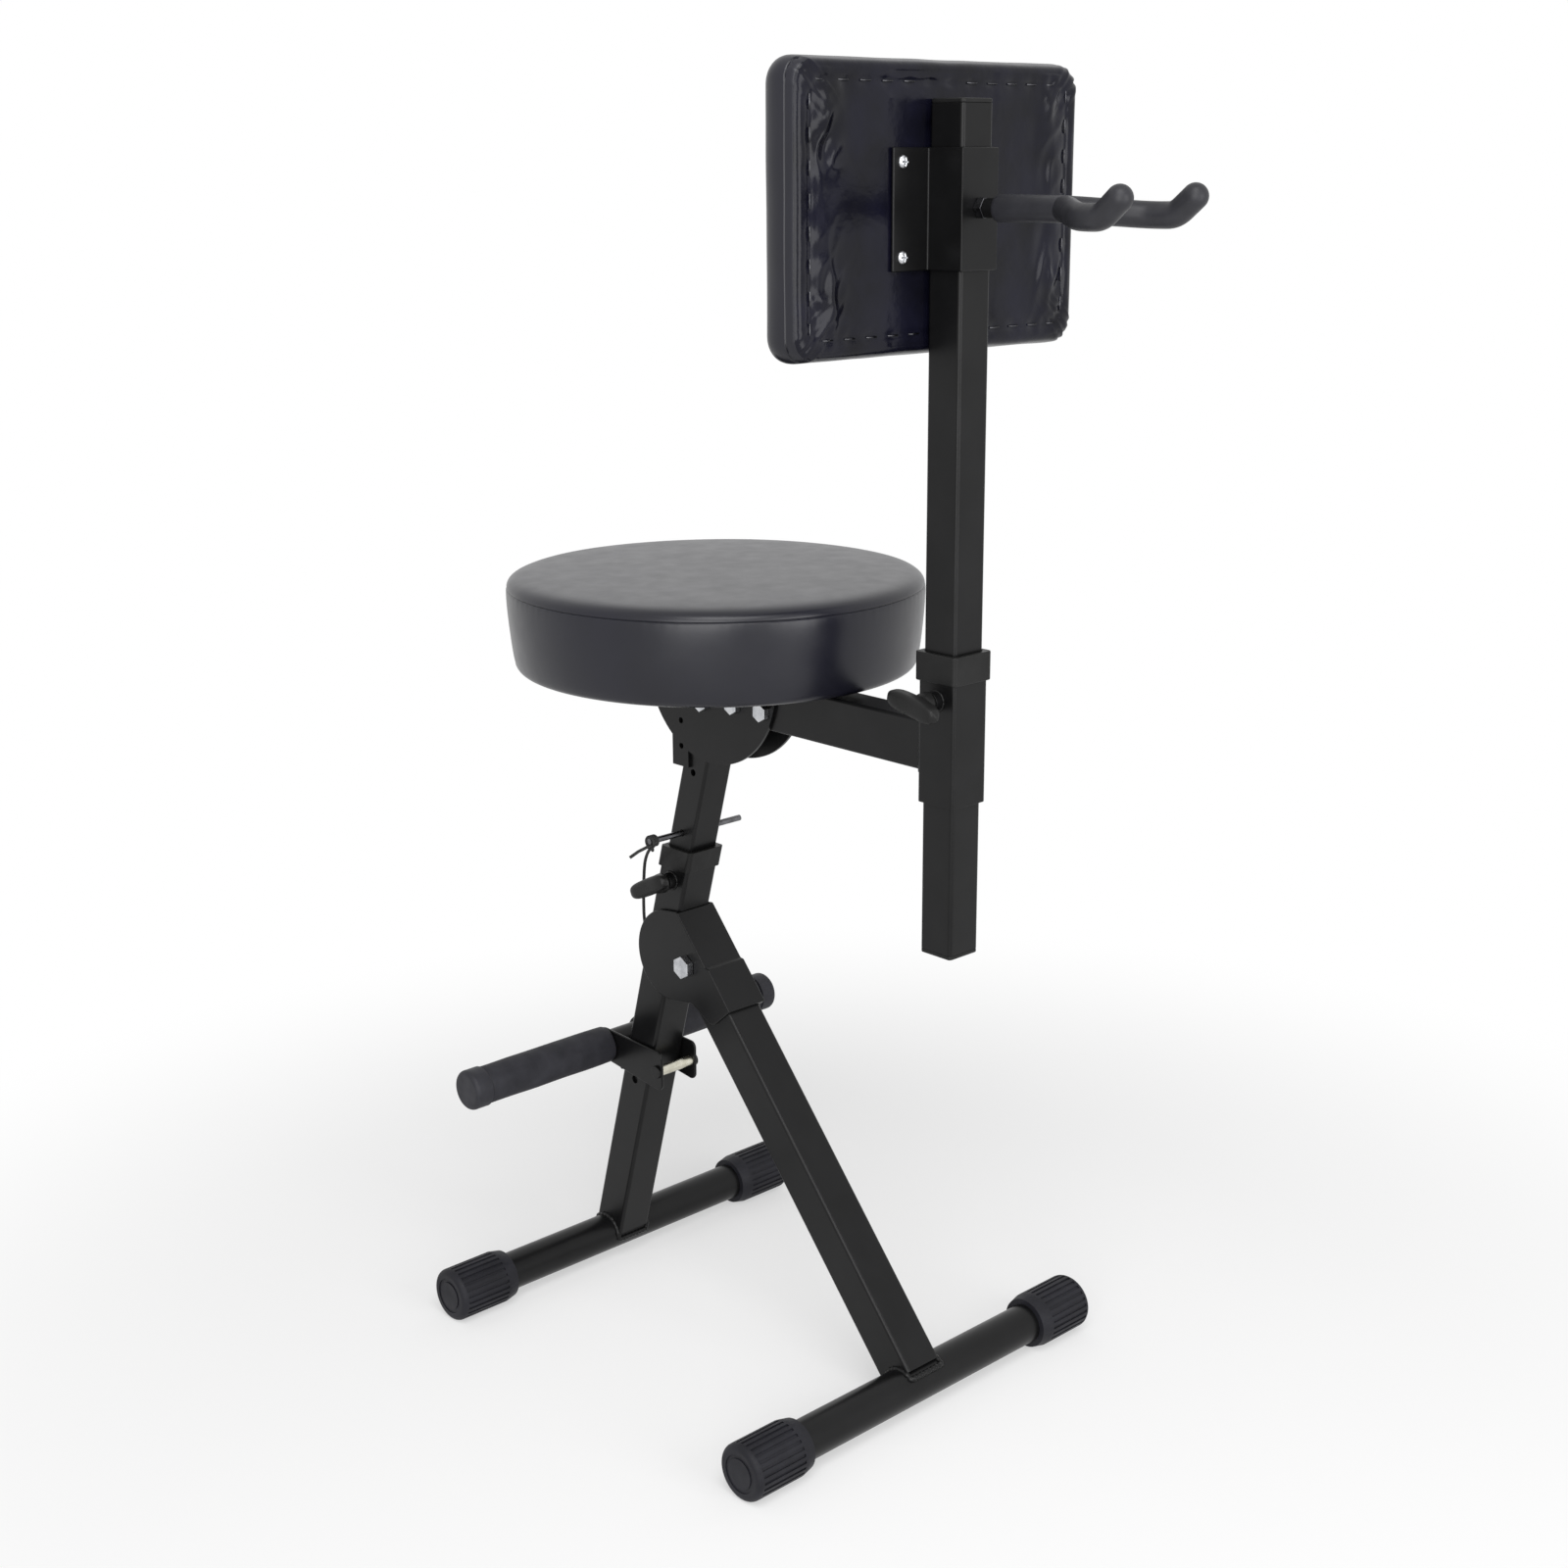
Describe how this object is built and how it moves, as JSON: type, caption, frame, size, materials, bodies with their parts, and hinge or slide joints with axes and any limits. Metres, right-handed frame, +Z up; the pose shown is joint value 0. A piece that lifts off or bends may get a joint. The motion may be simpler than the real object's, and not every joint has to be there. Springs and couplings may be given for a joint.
{
  "type": "guitar stool",
  "caption": "Folding musician's stool with a round padded seat, pinned height post, padded backrest on a clamped pole, sliding footrest bar and a padded guitar hook behind the backrest.",
  "frame": {"origin": "on the floor, under the middle of the stool's overall box", "axes": "+Z up, the sitter faces -Y, +X is the sitter's left, where the clamp knobs are"},
  "size_m": [0.376, 0.5935, 1.0125],
  "materials": {
    "black_paint": "satin black powder coat",
    "black_rubber": "matte black moulded rubber",
    "black_plastic": "fine matte black moulding",
    "zinc_plate": "bright zinc plate",
    "yellow_zinc": "pale yellow zinc plate",
    "black_vinyl": "black grained vinyl cover",
    "charcoal_foam": "matte closed-cell foam",
    "plywood": "plain plywood",
    "black_cord": "black elastic cord"
  },
  "bodies": {
    "front_frame": {"front_leg": "black_paint", "leg_collar": "black_plastic", "seat_clamp_boss": "black_paint", "hinge_lug": "black_paint", "hinge_bolt": "zinc_plate", "hinge_nut": "zinc_plate", "hinge_washers": "zinc_plate", "front_floor_bar": "black_paint", "front_foot_cap_left": "black_rubber", "front_foot_cap_right": "black_rubber", "tether_cord": "black_cord"},
    "rear_frame": {"rear_leg": "black_paint", "hinge_bracket": "black_paint", "rear_floor_bar": "black_paint", "rear_foot_cap_left": "black_rubber", "rear_foot_cap_right": "black_rubber"},
    "seat_assembly": {"seat_post": "black_paint", "seat_bracket": "black_paint", "bracket_bolts": "zinc_plate", "bracket_nuts": "zinc_plate", "seat_plate": "black_paint", "seat_screws": "zinc_plate", "seat_board": "plywood", "seat_cushion": "black_vinyl", "backrest_arm": "black_paint", "pole_sleeve": "black_paint", "sleeve_collar": "black_plastic", "pole_clamp_boss": "black_paint"},
    "backrest_assembly": {"backrest_pole": "black_paint", "pole_top_plug": "black_plastic", "pole_bottom_plug": "black_plastic", "backrest_strap": "black_paint", "backrest_screws": "zinc_plate", "backrest_board": "plywood", "backrest_cushion": "black_vinyl", "backrest_back_panel": "black_vinyl", "hook_stud": "zinc_plate", "hook_nut": "zinc_plate"},
    "guitar_hook": {"hook_yoke": "black_paint", "hook_stem_foam": "charcoal_foam", "hook_left_foam": "charcoal_foam", "hook_right_foam": "charcoal_foam"},
    "footrest": {"footrest_bracket": "black_paint", "footrest_bar": "black_paint", "footrest_grip_left": "charcoal_foam", "footrest_grip_right": "charcoal_foam", "footrest_cap_left": "black_plastic", "footrest_cap_right": "black_plastic", "footrest_spacer": "yellow_zinc", "footrest_rivet": "black_paint"},
    "seat_clamp_screw_body": {"seat_clamp_screw": "zinc_plate"},
    "seat_clamp_knob_body": {"seat_clamp_knob": "black_plastic"},
    "pole_clamp_screw_body": {"pole_clamp_screw": "zinc_plate"},
    "pole_clamp_knob_body": {"pole_clamp_knob": "black_plastic"},
    "locking_pin_body": {"locking_pin": "zinc_plate"}
  },
  "joints": [
    {"name": "rear_leg_fold", "type": "hinge", "parent": "front_frame", "child": "rear_frame", "pos_m": [0, -0.15232, 0.30849], "axis": [-1, 0, 0], "range_deg": [0, 45]},
    {"name": "seat_height", "type": "slide", "parent": "front_frame", "child": "seat_assembly", "axis": [0, 0.2689, 0.9632], "range_m": [0, 0.168]},
    {"name": "pin_pull", "type": "slide", "parent": "front_frame", "child": "locking_pin_body", "axis": [1, 0, 0], "range_m": [0, 0.066], "deforming": ["tether_cord"]},
    {"name": "footrest_height", "type": "slide", "parent": "front_frame", "child": "footrest", "axis": [0, 0.2689, 0.9632], "range_m": [-0.12, 0.02]},
    {"name": "backrest_height", "type": "slide", "parent": "seat_assembly", "child": "backrest_assembly", "axis": [0, 0, 1], "range_m": [-0.12, 0.1]},
    {"name": "hook_swivel", "type": "hinge", "parent": "backrest_assembly", "child": "guitar_hook", "pos_m": [0, 0.15826, 0.917], "axis": [0, 1, 0], "range_deg": [-30, 30]},
    {"name": "seat_clamp_travel", "type": "slide", "parent": "front_frame", "child": "seat_clamp_screw_body", "axis": [1, 0, 0], "range_m": [0, 0.0026]},
    {"name": "seat_clamp_turn", "type": "hinge", "parent": "seat_clamp_screw_body", "child": "seat_clamp_knob_body", "pos_m": [0.03, -0.17389, 0.377], "axis": [1, 0, 0], "range_deg": [0, 720]},
    {"name": "pole_clamp_travel", "type": "slide", "parent": "seat_assembly", "child": "pole_clamp_screw_body", "axis": [1, 0, 0], "range_m": [0, 0.0026]},
    {"name": "pole_clamp_turn", "type": "hinge", "parent": "pole_clamp_screw_body", "child": "pole_clamp_knob_body", "pos_m": [0.03, 0.12124, 0.58], "axis": [1, 0, 0], "range_deg": [0, 720]}
  ],
  "couplings": [
    {"joint": "seat_clamp_travel", "follows": "seat_clamp_turn", "m_per_rad": 0.00019894},
    {"joint": "pole_clamp_travel", "follows": "pole_clamp_turn", "m_per_rad": 0.00019894}
  ]
}
